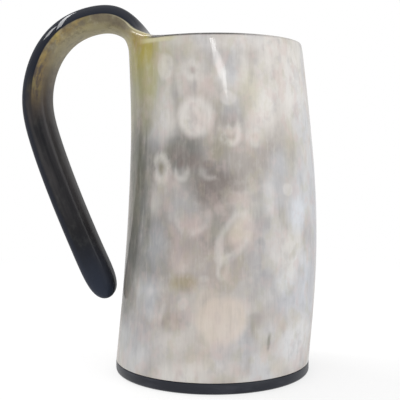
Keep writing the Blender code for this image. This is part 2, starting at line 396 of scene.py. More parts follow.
# Rings that are open at their top
PALE_CUPS = (
    (2.4, 109.4, 3.6, 4.2, 0.72),
    (3.5, 112.4, 2.0, 2.5, 0.56),
    (-19.0, 93.0, 2.8, 2.8, 0.34),
    (5.5, 86, 5.5, 2.2, 0.20),
    (-6.0, 93.6, 4.0, 3.0, 0.30),
    (-13.5, 73.6, 6.6, 5.4, 0.26),
)
# One long loop leans by so many degrees, with the tan horn that it goes round
LOOP_LEAN = 28.0
LEANING_TAN = ((5.0, 69.0, 5.4, 9.6, 0.60),)
LEANING_LOOP = ((4.2, 67.2, 5.0, 10.2, 0.36),)
# How far the marks' outlines wander, in millimetres, and the shares of that for the rings and for the loop
DRIFT = 3.6
RING_DRIFT = 0.7
LOOP_DRIFT = 0.4
# How far out a cloud reaches, as a share of its half sizes
CLOUD_EDGE = 1.15


class HornSizes(bpy.types.PropertyGroup):
    """The sizes of the horn and of its finish."""

    foot: length_property("Foot", "Height of the horn's foot above the table", HORN_LOW.z)
    rim: length_property("Rim", "Height of the rim above the table", 0.1508)
    bow: length_property("Bow", "How far the horn's middle line bows away from the handle", 0.0044)
    lean: length_property("Lean", "How far the rim stands off the foot's middle", 0.0010)
    girth_radius: length_property("Girth radius", "Mean outside radius, for distances round the horn", 0.043)
    root_x: length_property("Root", "Where the handle's middle line leaves the rim", -0.0337)
    crest_x: length_property("Crest", "Where the handle's middle line is highest", -0.0508)
    crest_z: length_property("Crest height", "Height of the handle's middle line at the crest", 0.1629)
    outermost_x: length_property("Outermost", "Where the handle's middle line is farthest out", -0.0816)
    outermost_z: length_property("Outermost height", "Height of that farthest point", 0.1253)
    tip_x: length_property("Tip", "Where the handle's middle line ends", -0.0489)
    tip_z: length_property("Tip height", "Height of that end", 0.0346)
    strip_half: length_property("Half thickness", "Half the handle's mean thickness", 0.0065)
    root_ease: length_property("Root easing", "How far round the handle's root its edges are eased", 0.016)
    swell: length_property("Swell", "Unevenness that polishing leaves in the horn's surface", 0.00012)
    swell_spread: length_property("Swell spread", "Distance from one swell to the next", 0.028)
    fibre_width: length_property("Fibre width", "Width of one fibre in the grain", 0.0005)
    fibre_length: length_property("Fibre length", "Length of one fibre in the grain", 0.009)


class BaseSizes(bpy.types.PropertyGroup):
    """The sizes of the base disc."""

    radius: length_property("Radius", "Outside radius of the band", BASE_HIGH.x)
    band: length_property("Band", "Height of the band", 0.0048)
    plug_radius: length_property("Plug radius", "Radius of the plug inside the horn", 0.0399)
    plug_top: length_property("Plug top", "Height of the plug's top above the table", BASE_HIGH.z)
    edge: length_property("Edge", "Rounding of the band's lower edge", 0.0014)
    shoulder: length_property("Shoulder", "Rounding of the band's upper edge", 0.0003)
    chamfer: length_property("Chamfer", "Chamfer round the plug's top", 0.0008)


class HornColours(bpy.types.PropertyGroup):
    """The colours in the horn, the base, the glue and the floor."""

    cream: colour_property("Cream", "The palest horn, over most of the body", paint(197, 194, 189))
    warm_grey: colour_property("Warm grey", "The greyer horn between the pale clouds", paint(163, 155, 149))
    cool: colour_property("Cool grey", "The bluish horn", paint(181, 184, 191))
    slate: colour_property("Slate", "The dark clouds that show through", paint(88, 90, 86))
    mauve: colour_property("Mauve", "The brown spots in the dark clouds and the rings", paint(120, 102, 98))
    olive: colour_property("Olive", "The stains, strongest below the handle's root", paint(158, 147, 76))
    moss: colour_property("Moss", "The greener stains further down", paint(154, 155, 112))
    tan: colour_property("Tan", "The warm clouds", paint(203, 190, 177))
    pale: colour_property("Pale", "The rings and the whitest clouds", paint(215, 211, 206))
    blush: colour_property("Blush", "The pinkish clouds", paint(197, 182, 176))
    frost: colour_property("Frost", "The bluish white clouds", paint(204, 208, 214))
    # Painted highlight: the pale edge beside the root's dark layer and below the rim stands in for light
    # caught by the polished edges there
    painted_edge_highlight: colour_property("Ridge", "The pale edge beside the root's dark layer", paint(206, 201, 168))
    lilac: colour_property("Lilac", "The darker mottling", paint(146, 143, 148))
    sage: colour_property("Sage", "The greenish mottling", paint(170, 166, 142))
    pink: colour_property("Pink", "The pinkish mottling", paint(192, 172, 168))
    khaki: colour_property("Khaki", "The handle's side near its root", paint(147, 139, 108))
    amber: colour_property("Amber", "The clear patches at the root and by the crown", paint(152, 131, 78))
    umber: colour_property("Umber", "The handle's side on its way to soot", paint(83, 74, 67))
    soot: colour_property("Soot", "The grip between its streaks", paint(27, 27, 30))
    # Partly real smoky streaks, partly painted sheen in the grip, and the painted light along the grip's
    # inner edge
    smoke_and_sheen: colour_property("Smoke", "The streaks in the grip and its worn inner edge", paint(82, 79, 79))
    black: colour_property("Black", "The handle's crown", paint(24, 28, 38))
    night: colour_property("Night", "The bluish black towards the tip", paint(42, 48, 61))
    # Real pale flecks on the handle's side, and a painted reflection that lightens its inner edge past the
    # bend
    pale_fleck_and_reflection: colour_property("Underside", "The handle's inner edge", paint(152, 146, 124))
    inner: colour_property("Inside", "The dark layer inside the cup and along the rim", paint(68, 64, 63))
    base: colour_property("Base", "The base disc", paint(26, 29, 38))
    glue: colour_property("Glue", "The glue bead", paint(176, 140, 82))
    floor: colour_property("Floor", "The studio's floor", paint(243, 243, 243))


class StudioSettings(bpy.types.PropertyGroup):
    """The light that the tankard is seen in."""

    surroundings: light_property("Surroundings", "Level of the even light from all round", 0.70)
    key: light_property("Key", "Power of the large soft lamp at the right", 10.0, "POWER")
    overhead: light_property("Overhead", "Power of the large soft lamp above", 8.0, "POWER")
    glint: light_property("Glint", "Share of their power at which the slim lamps burn", 1.0)


class Signal:
    """One socket in a material. Arithmetic on it adds Math nodes."""

    def __init__(self, finish, socket):
        self.finish = finish
        self.socket = socket

    def maths(self, operation, *values):
        return self.finish.node("ShaderNodeMath", {"operation": operation}, dict(enumerate(values)))

    def __add__(self, other):
        return self.maths("ADD", self, other)

    def __sub__(self, other):
        return self.maths("SUBTRACT", self, other)

    def __rsub__(self, other):
        return self.maths("SUBTRACT", other, self)

    def __mul__(self, other):
        return self.maths("MULTIPLY", self, other)

    def __truediv__(self, other):
        return self.maths("DIVIDE", self, other)

    def __rtruediv__(self, other):
        return self.maths("DIVIDE", other, self)

    def __abs__(self):
        return self.maths("ABSOLUTE", self)

    def larger(self, other):
        return self.maths("MAXIMUM", self, other)

    __radd__ = __add__
    __rmul__ = __mul__


def largest(signals):
    """The largest of several signals. Each is made just before it is compared, to keep few at a time."""
    return functools.reduce(Signal.larger, signals)


class Finish:
    """The nodes of one material or world, and the one way in which they are added."""

    def __init__(self, owner, shader="Principled BSDF"):
        owner.use_nodes = True
        self.tree = owner.node_tree
        self.shader = self.tree.nodes[shader]

    def node(self, kind, settings, sockets, *outputs):
        """Adds a node, its settings first. Gives its first output, or those that are named."""
        made = self.tree.nodes.new(kind)
        for name, value in settings.items():
            if name == "stops":
                self.set_stops(made.color_ramp, value)
            else:
                setattr(made, name, value)
        for key, value in sockets.items():
            self.feed(made, key, value)
        signals = [Signal(self, made.outputs[output]) for output in outputs or (0,)]
        return signals if len(signals) > 1 else signals[0]

    def feed(self, node, key, value):
        if isinstance(value, Signal):
            self.tree.links.new(value.socket, node.inputs[key])
        else:
            node.inputs[key].default_value = value

    def set_stops(self, ramp, stops):
        while len(ramp.elements) < len(stops):
            ramp.elements.new(1.0)
        for element, (position, colour) in zip(ramp.elements, stops):
            element.position = position
            element.color = colour

    def set(self, **sockets):
        """Feeds the shader's own sockets, named with underscores."""
        for key, value in sockets.items():
            self.feed(self.shader, key.replace("_", " ").title().replace("Ior", "IOR"), value)

    def vector(self, operation, *values):
        return self.node("ShaderNodeVectorMath", {"operation": operation}, dict(enumerate(values)))

    def length(self, vector):
        return self.node("ShaderNodeVectorMath", {"operation": "LENGTH"}, {0: vector}, "Value")

    def place(self):
        """Object coordinates in millimetres."""
        coordinates = self.node("ShaderNodeTexCoord", {}, {}, "Object")
        return self.vector("MULTIPLY", coordinates, (MILLIMETRES,) * 3)

    def split(self, vector):
        return self.node("ShaderNodeSeparateXYZ", {}, {0: vector}, 0, 1, 2)

    def join(self, x, y, z):
        return self.node("ShaderNodeCombineXYZ", {}, {0: x, 1: y, 2: z})

    def attribute(self, name):
        return self.node("ShaderNodeAttribute", {"attribute_name": name}, {}, "Fac")

    def mix(self, share, first, second):
        return self.node("ShaderNodeMix", {"data_type": "RGBA"}, {0: share, 6: first, 7: second}, 2)

    def ease(self, value, start, end, top=1.0):
        """0 up to the start, the top value from the end on, and a smooth way between."""
        settings = {"interpolation_type": "SMOOTHSTEP"}
        sockets = {"Value": value, "From Min": start, "From Max": end, "To Min": 0.0, "To Max": top}
        return self.node("ShaderNodeMapRange", settings, sockets)

    def noise(self, place, spread, detail=2.0, roughness=0.5, output=0):
        """Soft noise, with the distance from one cloud to the next along each axis in millimetres."""
        scaled = self.vector("MULTIPLY", place, tuple(1 / step for step in spread))
        sockets = {"Vector": scaled, "Scale": 1.0, "Detail": detail, "Roughness": roughness}
        return self.node("ShaderNodeTexNoise", {"noise_dimensions": "3D"}, sockets, output)

    def bump(self, height, distance, strength):
        sockets = {"Height": height, "Distance": distance, "Strength": strength}
        return self.node("ShaderNodeBump", {}, sockets)

    def looked_at(self):
        """1 where the camera looks, straight, by reflection or through something clear, and 0 elsewhere."""
        kinds = ("Is Camera Ray", "Is Glossy Ray", "Is Transmission Ray")
        camera, glossy, clear = self.node("ShaderNodeLightPath", {}, {}, *kinds)
        return camera.larger(glossy).larger(clear)

    def tinted(self, base, tints, where):
        """Mixes in each colour as its noise goes from a start to an end, up to its most."""
        for noise, start, end, most, colour in tints:
            base = self.mix(self.ease(noise, start, end, most) * where, base, colour)
        return base

    def from_mark(self, surface, mark):
        """Distance from a mark's middle, 1 at its edge."""
        around, up, half_width, half_height = mark[:4]
        shrink = (1 / half_width, 1 / half_height, 0.0)
        shift = (-around / half_width, -up / half_height, 0.0)
        return self.length(self.vector("MULTIPLY_ADD", surface, shrink, shift))

    def cloud(self, surface, mark, core):
        """A soft spot, full in its core and gone at its edge."""
        return self.ease(self.from_mark(surface, mark), CLOUD_EDGE, core, mark[-1])

    def ring(self, surface, mark, line):
        """A soft line along a mark's edge."""
        half_width, half_height, strength = mark[2:]
        share = min(RING_LINE_MOST, line / math.sqrt(half_width * half_height))
        return self.ease(abs(self.from_mark(surface, mark) - 1.0), share, 0.0, strength)

    def cup(self, surface, mark):
        """A soft ring that fades out towards its top."""
        around, up, half_width, half_height = mark[:4]
        top = (around, up + half_height, half_width, half_height)
        open_top = self.ease(self.from_mark(surface, top), 0.6, 1.3)
        return self.ring(surface, mark, CUP_LINE) * open_top

    def clouds(self, surface, marks, core=0.25):
        return largest(self.cloud(surface, mark, core) for mark in marks)

    def rings(self, surface, marks):
        return largest(self.ring(surface, mark, RING_LINE) for mark in marks)

    def cups(self, surface, marks):
        return largest(self.cup(surface, mark) for mark in marks)


def new_finish(name):
    """A new material, the way to add its nodes, and the place on the surface."""
    material = bpy.data.materials.new(name)
    finish = Finish(material)
    return material, finish, finish.place()


def unrolled(finish, sizes, x, y, z):
    """The horn's outside laid flat, in millimetres: the distance round it from its front, and the height."""
    foot = sizes.foot * MILLIMETRES
    share = (z - foot) / (sizes.rim * MILLIMETRES - foot)
    middle = share * (sizes.lean * MILLIMETRES) + share * (1.0 - share) * (4 * sizes.bow * MILLIMETRES)
    angle = finish.node("ShaderNodeMath", {"operation": "ARCTAN2"}, {0: x - middle, 1: y * -1.0})
    return finish.join(angle * (sizes.girth_radius * MILLIMETRES), z, 0.0)


def body_colour(finish, colours, place, flat):
    """The body's colours, from its broad clouds to its fine mottling. Gives the patchy noise as well."""
    # The marks' outlines wander, as in a grown material
    drift = finish.noise(place, (8, 8, 10), detail=2.5, output="Color")
    drift = finish.vector("MULTIPLY_ADD", drift, (DRIFT, DRIFT, 0.0), (-DRIFT / 2, -DRIFT / 2, 0.0))
    surface = finish.vector("ADD", flat, drift)
    steady = finish.vector("MULTIPLY_ADD", drift, (RING_DRIFT, RING_DRIFT, 0.0), flat)
    steadier = finish.vector("MULTIPLY_ADD", drift, (LOOP_DRIFT, LOOP_DRIFT, 0.0), flat)
    middle_of_loop = (*LEANING_LOOP[0][:2], 0.0)
    loop_turn = {"Vector": steadier, "Center": middle_of_loop, "Angle": math.radians(LOOP_LEAN)}
    leaning = finish.node("ShaderNodeVectorRotate", {"rotation_type": "Z_AXIS"}, loop_turn)

    # Broad clouds first, then the marks over them, layer by layer
    broad = finish.noise(place, (24, 24, 34), detail=3.0)
    patchy = finish.noise(place, (7, 7, 11), detail=4.0, roughness=0.6)
    bluish = finish.noise(place, (15, 15, 40), detail=2.0)
    body = finish.mix(finish.ease(broad, 0.40, 0.64), colours.cream, colours.warm_grey)
    body = finish.mix(finish.ease(bluish, 0.50, 0.68, 0.5), body, colours.cool)
    broken = finish.ease(patchy, 0.34, 0.60)
    dark_clouds = finish.clouds(surface, SLATE_CLOUDS)
    tan_discs = finish.clouds(surface, TAN_DISCS, 0.70)
    moss_stains = finish.clouds(surface, MOSS_STAINS)
    layers = (
        (finish.clouds(surface, GREY_CLOUDS), colours.warm_grey),
        (dark_clouds, colours.slate),
        (finish.clouds(surface, COOL_CLOUDS), colours.cool),
        (tan_discs, colours.tan),
        (finish.clouds(leaning, LEANING_TAN), colours.tan),
        (moss_stains, colours.moss),
        (finish.clouds(surface, OLIVE_STAINS), colours.olive),
        (finish.clouds(surface, AMBER_STAINS), colours.amber),
        (finish.clouds(surface, PALE_CLOUDS), colours.pale),
        (finish.clouds(surface, FROST_CLOUDS), colours.frost),
        (finish.clouds(surface, PALE_DISCS, 0.72), colours.pale),
        (finish.clouds(surface, BLUSH_CLOUDS), colours.blush),
        (finish.clouds(surface, MAUVE_SPOTS), colours.mauve),
        (finish.rings(steady, PALE_RINGS) * broken, colours.pale),
        (finish.cups(steady, PALE_CUPS) * broken, colours.pale),
        (finish.rings(leaning, LEANING_LOOP) * broken, colours.pale),
        (finish.clouds(surface, SLATE_STREAKS), colours.slate),
    )
    for share, colour in layers:
        body = finish.mix(share, body, colour)

    # Fine mottling in tints of its own, fainter over the dark clouds, the tan discs and the moss stains
    calm = 1.0 - dark_clouds.larger(tan_discs).larger(moss_stains) * 0.8
    mottle = finish.noise(place, (5.5, 5.5, 7.5), detail=4.0, roughness=0.55, output="Color")
    lights, greens, pinks = finish.split(mottle)
    mottling = (
        (lights, 0.50, 0.70, 0.18, colours.pale),
        (lights, 0.50, 0.32, 0.26, colours.lilac),
        (greens, 0.50, 0.66, 0.26, colours.sage),
        (pinks, 0.49, 0.65, 0.32, colours.pink),
    )
    return finish.tinted(body, mottling, calm), patchy


def rim_colour(finish, sizes, colours, body, x, z):
    """Below the rim a painted highlight, a pale edge beside the handle's root, and the dark layer along the
    rim's top.
    """
    below_rim = sizes.rim * MILLIMETRES - z
    # Painted highlight: the polished edge just below the rim catches light beside the root
    painted_lip_highlight = finish.ease(abs(below_rim - 1.6), 1.6, 0.4)
    painted_lip_highlight = painted_lip_highlight * finish.ease(x, -12, -22, 0.55) * finish.ease(x, -34, -27)
    body = finish.mix(painted_lip_highlight, body, colours.painted_edge_highlight)
    rim_edge = finish.ease(below_rim, 1.3, 0.4)
    rim_edge = rim_edge * finish.ease(x, -30, -25) * (1.0 - finish.ease(x, 4, 26, 0.8))
    return finish.mix(rim_edge, body, colours.inner)


def side_colour(finish, sizes, colours, place, y, along, out):
    """The handle's side, from its root to its tip."""
    # It goes from khaki through umber to soot, and up to the bend painted shade darkens it towards the crown
    wander = finish.noise(place, (9, 9, 9), detail=3.0)
    travel = along + (wander - 0.5) * 0.14
    stops = ((0.00, colours.khaki), (0.22, colours.khaki), (0.37, colours.umber), (0.53, colours.soot))
    side = finish.node("ShaderNodeValToRGB", {"stops": stops}, {0: travel})
    shade_up_to_bend = finish.ease(out, -0.85, -0.35, 0.66) * finish.ease(along, 0.25, 0.19)
    side = finish.mix(shade_up_to_bend, side, colours.umber)

    # Clear and dark patches near the crown, and streaks along the strip
    strip = finish.join(along * STRIP_LENGTH, out * (sizes.strip_half * MILLIMETRES), y)
    streak = finish.noise(strip, (34, 3.6, 7.0), detail=3.0, roughness=0.5)
    clear = finish.noise(place, (5, 5, 7), detail=4.0, roughness=0.6)
    amber_streak = finish.noise(strip, (9, 2.6, 6.0), detail=4.0, roughness=0.6)
    before_black = finish.ease(along, 0.48, 0.34)
    near_crown = finish.ease(out, -0.95, -0.20) * finish.ease(along, 0.13, 0.23) * before_black
    patches = (
        (amber_streak, 0.40, 0.60, 0.85, colours.amber),
        (wander, 0.50, 0.64, 0.45, colours.umber),
        (wander, 0.52, 0.40, 0.40, colours.olive),
    )
    side = finish.tinted(side, patches, near_crown)
    past_arch = finish.ease(along, 0.12, 0.26) * before_black
    side = finish.mix(past_arch * finish.ease(clear, 0.46, 0.30, 0.50), side, colours.umber)
    side = finish.mix(finish.ease(streak, 0.50, 0.72, 0.42) * before_black, side, colours.umber)
    grip = finish.ease(along, 0.36, 0.46) * finish.ease(along, 0.86, 0.66)
    # In the grip these streaks are partly real and partly a painted sheen along the polished strip
    side = finish.mix(finish.ease(streak, 0.36, 0.70, 0.32) * grip, side, colours.smoke_and_sheen)
    side = finish.mix(finish.ease(clear, 0.50, 0.72, 0.16), side, colours.slate)

    # Past the bend a painted reflection makes it paler towards the inner edge, and it is flecked from the
    # root to there
    past_bend = finish.ease(along, 0.14, 0.25) * finish.ease(along, 0.46, 0.24, 0.60)
    side = finish.mix(finish.ease(out, -0.40, -0.90) * past_bend, side, colours.pale_fleck_and_reflection)
    flecks = finish.noise(place, (4.0, 4.0, 4.6), detail=4.0, roughness=0.7)
    flecked = finish.ease(along, 0.38, 0.26)
    fleck_tints = (
        (flecks, 0.51, 0.64, 0.36, colours.umber),
        (flecks, 0.49, 0.36, 0.36, colours.pale_fleck_and_reflection),
    )
    return finish.tinted(side, fleck_tints, flecked)


def crown_colour(finish, colours, horn, along, out):
    """The dark layer over the horn: brown inside the cup, black along the crown. Gives its share as well."""
    on_grip = finish.ease(along, 0.36, 0.54)
    crown = finish.ease(finish.attribute("dark_layer"), 0.30, 0.85)
    crown = crown * (1.0 - on_grip * finish.ease(out, 0.66, 0.40))
    dark = finish.mix(finish.ease(along, 0.0, 0.04), colours.inner, colours.black)
    # Painted highlight: a pale line along the dark layer's edge at the root
    painted_edge_highlight = finish.ease(finish.attribute("dark_layer"), 0.08, 0.26) * finish.ease(along, 0.13, 0.03, 0.6)
    horn = finish.mix(painted_edge_highlight, horn, colours.painted_edge_highlight)
    horn = finish.mix(crown, horn, dark)

    # The tip is bluish, and painted light makes the grip paler along its inner edge
    horn = finish.mix(finish.ease(along, 0.80, 1.0, 0.9), horn, colours.night)
    painted_grip_edge_light = finish.ease(along, 0.40, 0.50, 0.28) - finish.ease(along, 0.66, 0.80, 0.14)
    return finish.mix(finish.ease(out, -0.2, -0.9) * painted_grip_edge_light, horn, colours.smoke_and_sheen), crown


def grain_colour(finish, sizes, colours, place, horn, on_body):
    """The grain: fine fibres and broader streaks that run up the body. Gives the fibres' noise as well."""
    width = sizes.fibre_width * MILLIMETRES
    fibre = finish.noise(place, (width, width, sizes.fibre_length * MILLIMETRES), detail=2.0)
    bundle = finish.noise(place, (2.0, 2.0, 16), detail=3.0, roughness=0.6)
    grain = (
        (bundle, 0.50, 0.74, 0.10, colours.slate),
        (bundle, 0.48, 0.28, 0.10, colours.pale),
        (fibre, 0.50, 0.74, 0.05, colours.slate),
        (fibre, 0.46, 0.26, 0.06, colours.pale),
    )
    return finish.tinted(horn, grain, on_body), fibre


def horn_finish(sizes, colours):
    """Natural horn: clouds, rings and stains under a polished surface, with the grain along the horn."""
    material, finish, place = new_finish("natural_horn")
    x, y, z = finish.split(place)
    flat = unrolled(finish, sizes, x, y, z)
    body, patchy = body_colour(finish, colours, place, flat)
    along = finish.attribute("strip_along")
    out = finish.attribute("strip_out")
    handle = finish.ease(along, 0.0, 0.07)
    body = rim_colour(finish, sizes, colours, body, x, z)
    side = side_colour(finish, sizes, colours, place, y, along, out)
    horn = finish.mix(handle, body, side)
    horn, crown = crown_colour(finish, colours, horn, along, out)
    on_body = (1.0 - handle) * (1.0 - crown * 0.8)
    horn, fibre = grain_colour(finish, sizes, colours, place, horn, on_body)

    # The handle is polished smoother than the body
    relief = (fibre * 0.6 + patchy * 0.4) * (1.0 - handle * 0.85)
    finish.set(
        base_color=horn,
        roughness=0.30 + patchy * 0.22,
        normal=finish.bump(relief, 0.00006, 0.5),
        coat_weight=0.45 - handle * 0.25,
        coat_roughness=0.05,
        specular_ior_level=0.0,
    )
    return material


def base_finish(colours):
    """Dark horn or hardwood, turned and lacquered: fine rings from the lathe and faint grey clouds."""
    material, finish, place = new_finish("dark_turned_base")
    rings = finish.noise(place, (60, 60, 0.5), detail=2.0)
    clouds = finish.noise(place, (12, 12, 3), detail=3.0)
    lighter = paint(58, 60, 68)
    finish.set(
        base_color=finish.mix(finish.ease(clouds, 0.48, 0.75, 0.45), colours.base, lighter),
        roughness=0.30 + clouds * 0.20,
        normal=finish.bump(rings, 0.00004, 0.5),
        specular_ior_level=0.3,
    )
    return material


def glue_finish(colours):
    """Set glue: amber, with a few cloudy places."""
    material, finish, place = new_finish("set_glue")
    cloudy = finish.noise(place, (4, 4, 4), detail=3.0)
    milky = paint(214, 196, 160)
    finish.set(
        base_color=finish.mix(finish.ease(cloudy, 0.45, 0.7, 0.6), colours.glue, milky),
        roughness=0.12 + cloudy * 0.2,
        normal=finish.bump(cloudy, 0.0002, 0.4),
    )
    return material


def floor_finish(colours):
    """A plain pale floor, brighter to the camera, so that it runs into the white behind it."""
    material, finish, place = new_finish("studio_floor")
    speckle = finish.noise(place, (40, 40, 40), detail=2.0)
    finish.set(base_color=colours.floor, roughness=0.8 + speckle * 0.1, specular_ior_level=0.0)
    far = finish.ease(finish.length(place), FLOOR_NEAR, FLOOR_FAR)
    white = finish.node("ShaderNodeEmission", {}, {"Color": (1, 1, 1, 1), "Strength": 1.0})
    surface = Signal(finish, finish.shader.outputs[0])
    lift = finish.looked_at() * (NEAR_WHITE + far * (1.0 - NEAR_WHITE))
    lifted = finish.node("ShaderNodeMixShader", {}, {0: lift, 1: surface, 2: white})
    finish.feed(finish.tree.nodes["Material Output"], "Surface", lifted)
    return material


def deselect_everything():
    if bpy.context.object and bpy.context.object.mode != "OBJECT":
        bpy.ops.object.mode_set(mode="OBJECT")
    bpy.ops.object.select_all(action="DESELECT")


def make_active(piece):
    deselect_everything()
    piece.select_set(True)
    bpy.context.view_layer.objects.active = piece


def copy_of_node(node, name):
    """A copy of one solid, with its loose triangles merged and turned back into quads."""
    make_active(frame["nodes"][node])
    bpy.ops.object.duplicate()
    piece = bpy.context.object
    piece.name = name
    piece.data.name = name
    # The copy is a piece, and no longer one of the solids
    del piece["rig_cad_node"]
    piece.data.materials.clear()
    bpy.ops.mesh.customdata_custom_splitnormals_clear()
    bpy.ops.object.mode_set(mode="EDIT")
    bpy.ops.mesh.select_all(action="SELECT")
    bpy.ops.mesh.remove_doubles(threshold=MERGE_DISTANCE)
    bpy.ops.mesh.tris_convert_to_quads(
        face_threshold=math.pi, shape_threshold=math.pi, topology_influence=QUAD_EVENNESS
    )
    bpy.ops.object.mode_set(mode="OBJECT")
    return piece


def crease_sharp_edges(piece):
    """Edges that are corners in the solid stay corners when it is rounded further."""
    make_active(piece)
    bpy.ops.object.mode_set(mode="EDIT")
    bpy.ops.mesh.select_all(action="DESELECT")
    bpy.ops.mesh.select_mode(type="EDGE")
    bpy.ops.mesh.edges_select_sharp(sharpness=CREASE_ANGLE)
    bpy.ops.transform.edge_crease(value=1.0)
    bpy.ops.mesh.select_mode(type="VERT")
    bpy.ops.object.mode_set(mode="OBJECT")


def apply_modifier(piece, name, kind, settings):
    make_active(piece)
    modifier = piece.modifiers.new(name, kind)
    for key, value in settings.items():
        setattr(modifier, key, value)
    bpy.ops.object.modifier_apply(modifier=modifier.name)


def round_further(piece):
    settings = {"levels": ROUNDING_LEVELS, "render_levels": ROUNDING_LEVELS}
    apply_modifier(piece, "rounding", "SUBSURF", settings)


def dress(piece, material, node):
    """Finishes a piece: its material, the solid it stands for and the body it rides on."""
    make_active(piece)
    bpy.ops.object.shade_smooth_by_angle(angle=SHARP_ANGLE)
    piece.data.materials.append(material)
    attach(piece, "root")
    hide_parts(node)


def handle_line(sizes):
    """The handle's middle line in the XZ plane, from the rim to the tip."""
    root = Vector((sizes.root_x, 0.0, sizes.rim))
    crest = Vector((sizes.crest_x, 0.0, sizes.crest_z))
    outermost = Vector((sizes.outermost_x, 0.0, sizes.outermost_z))
    tip = Vector((sizes.tip_x, 0.0, sizes.tip_z))
    up = Vector((0.0, 0.0, crest.z - root.z)) * QUARTER
    over = Vector((root.x - crest.x, 0.0, 0.0)) * QUARTER
    out = Vector((crest.x - outermost.x, 0.0, 0.0)) * QUARTER
    down = Vector((0.0, 0.0, crest.z - outermost.z)) * QUARTER
    leave = outermost + Vector(LEAVE_PULL)
    arrive = tip + Vector(ARRIVE_PULL)
    bends = (
        (root, root + up, crest + over, crest),
        (crest, crest - out, outermost + down, outermost),
        (outermost, leave, arrive, tip),
    )
    line = [root]
    for bend, points in zip(bends, LINE_POINTS):
        line += interpolate_bezier(*bend, points)[1:]
    return line


def horn_axis(sizes, z):
    """How far the horn's middle line stands off the foot's middle at a height."""
    share = (z - sizes.foot) / (sizes.rim - sizes.foot)
    return sizes.lean * share + sizes.bow * 4 * share * (1 - share)


def horn_radius(z):
    """Outside radius of the horn's wall, a little generous, which tells the handle from the body."""
    return WALL_RADIUS - WALL_TAPER * clamped(z / WALL_HEIGHT) ** 2


def mark_regions(piece, sizes):
    """Values on the mesh that the finish follows: along and across the handle's strip, and the dark layer.

    The dark layer lies inside the cup. Where the strip is bent back it comes out on top, as the crown.
    """
    line = handle_line(sizes)
    lengths = [0.0]
    for before, after in zip(line, line[1:]):
        lengths.append(lengths[-1] + (after - before).length)
    count = len(piece.data.vertices)
    regions = {"strip_along": [0.0] * count, "strip_out": [-1.0] * count, "dark_layer": [0.0] * count}
    for vert in piece.data.vertices:
        place = vert.co
        radial = Vector((place.x - horn_axis(sizes, place.z), place.y, 0.0))
        if place.z > sizes.rim + ABOVE_RIM or radial.length > horn_radius(place.z):
            flat = Vector((place.x, 0.0, place.z))
            nearest = min(range(len(line)), key=lambda i: (line[i] - flat).length_squared)
            way = (line[min(len(line) - 1, nearest + 1)] - line[max(0, nearest - 1)]).normalized()
            outward = Vector((way.z, 0.0, -way.x))
            regions["strip_along"][vert.index] = lengths[nearest] / lengths[-1]
            regions["strip_out"][vert.index] = (flat - line[nearest]).dot(outward) / sizes.strip_half
            regions["dark_layer"][vert.index] = clamped(vert.normal.dot(outward) / CROWN_TURN)
        elif vert.normal.dot(radial) < 0.0:
            regions["dark_layer"][vert.index] = 1.0
    for name, values in regions.items():
        attribute = piece.data.attributes.new(name, "FLOAT", "POINT")
        attribute.data.foreach_set("value", values)
    return regions


def ease_handle(piece, sizes, regions):
    """The outside runs up into the handle with no edge, and the handle's own faces are polished a little."""
    middle = Vector((sizes.root_x, sizes.rim))
    group = piece.vertex_groups.new(name="eased")
    for vert in piece.data.vertices:
        off = (Vector((vert.co.x, vert.co.z)) - middle).length / sizes.root_ease
        at_root = clamped(2.0 - 2.0 * off) * (1.0 - regions["dark_layer"][vert.index])
        past_root = clamped(regions["strip_along"][vert.index] / PAST_ROOT - 1.0)
        weight = max(at_root, past_root * HANDLE_POLISH)
        if weight > 0.0:
            group.add([vert.index], weight, "REPLACE")
    settings = {"factor": EASING_FACTOR, "iterations": EASING_STEPS, "vertex_group": group.name}
    apply_modifier(piece, "easing", "SMOOTH", settings)
    piece.vertex_groups.clear()


def swell_outside(piece, sizes, dark_layer):
    """A slight unevenness over the polished outside. The foot, the rim and the inside stay true."""
    group = piece.vertex_groups.new(name="polished")
    for vert in piece.data.vertices:
        from_foot = clamped((vert.co.z - sizes.foot) / SWELL_FADE)
        from_rim = clamped((sizes.rim - SWELL_FADE - vert.co.z) / SWELL_FADE)
        group.add([vert.index], from_foot * from_rim * (1.0 - dark_layer[vert.index]), "REPLACE")
    texture = bpy.data.textures.new("horn_swell", "CLOUDS")
    texture.noise_scale = sizes.swell_spread
    texture.noise_depth = 1
    settings = {
        "texture": texture,
        "texture_coords": "LOCAL",
        "vertex_group": group.name,
        "strength": sizes.swell,
        "mid_level": 0.5,
    }
    apply_modifier(piece, "swell", "DISPLACE", settings)
    piece.vertex_groups.clear()


class TANKARD_OT_horn(bpy.types.Operator):
    """Makes the polished horn, body and handle in one piece"""

    bl_idname = "tankard.horn"
    bl_label = "Polished horn"

    def execute(self, context):
        sizes = context.scene.horn_sizes
        piece = copy_of_node("horn_body", "polished_horn")
        crease_sharp_edges(piece)
        round_further(piece)
        regions = mark_regions(piece, sizes)
        ease_handle(piece, sizes, regions)
        swell_outside(piece, sizes, regions["dark_layer"])
        dress(piece, horn_finish(sizes, context.scene.horn_colours), "horn_body")
        return {"FINISHED"}


def select_edges(mesh, chosen):
    """In edit mode, selects the edges whose two ends both pass a test."""
    bpy.ops.mesh.select_mode(type="EDGE")
    bpy.ops.mesh.select_all(action="DESELECT")
    bpy.ops.object.mode_set(mode="OBJECT")
    for edge in mesh.edges:
        edge.select = all(chosen(mesh.vertices[index].co) for index in edge.vertices)
    bpy.ops.object.mode_set(mode="EDIT")


def select_top_face(mesh):
    """In edit mode, selects the highest face that points up."""
    bpy.ops.mesh.select_mode(type="FACE")
    bpy.ops.mesh.select_all(action="DESELECT")
    bpy.ops.object.mode_set(mode="OBJECT")
    top = max(mesh.polygons, key=lambda face: (face.normal.z > FACES_UP, face.center.z))
    top.select = True
    bpy.ops.object.mode_set(mode="EDIT")


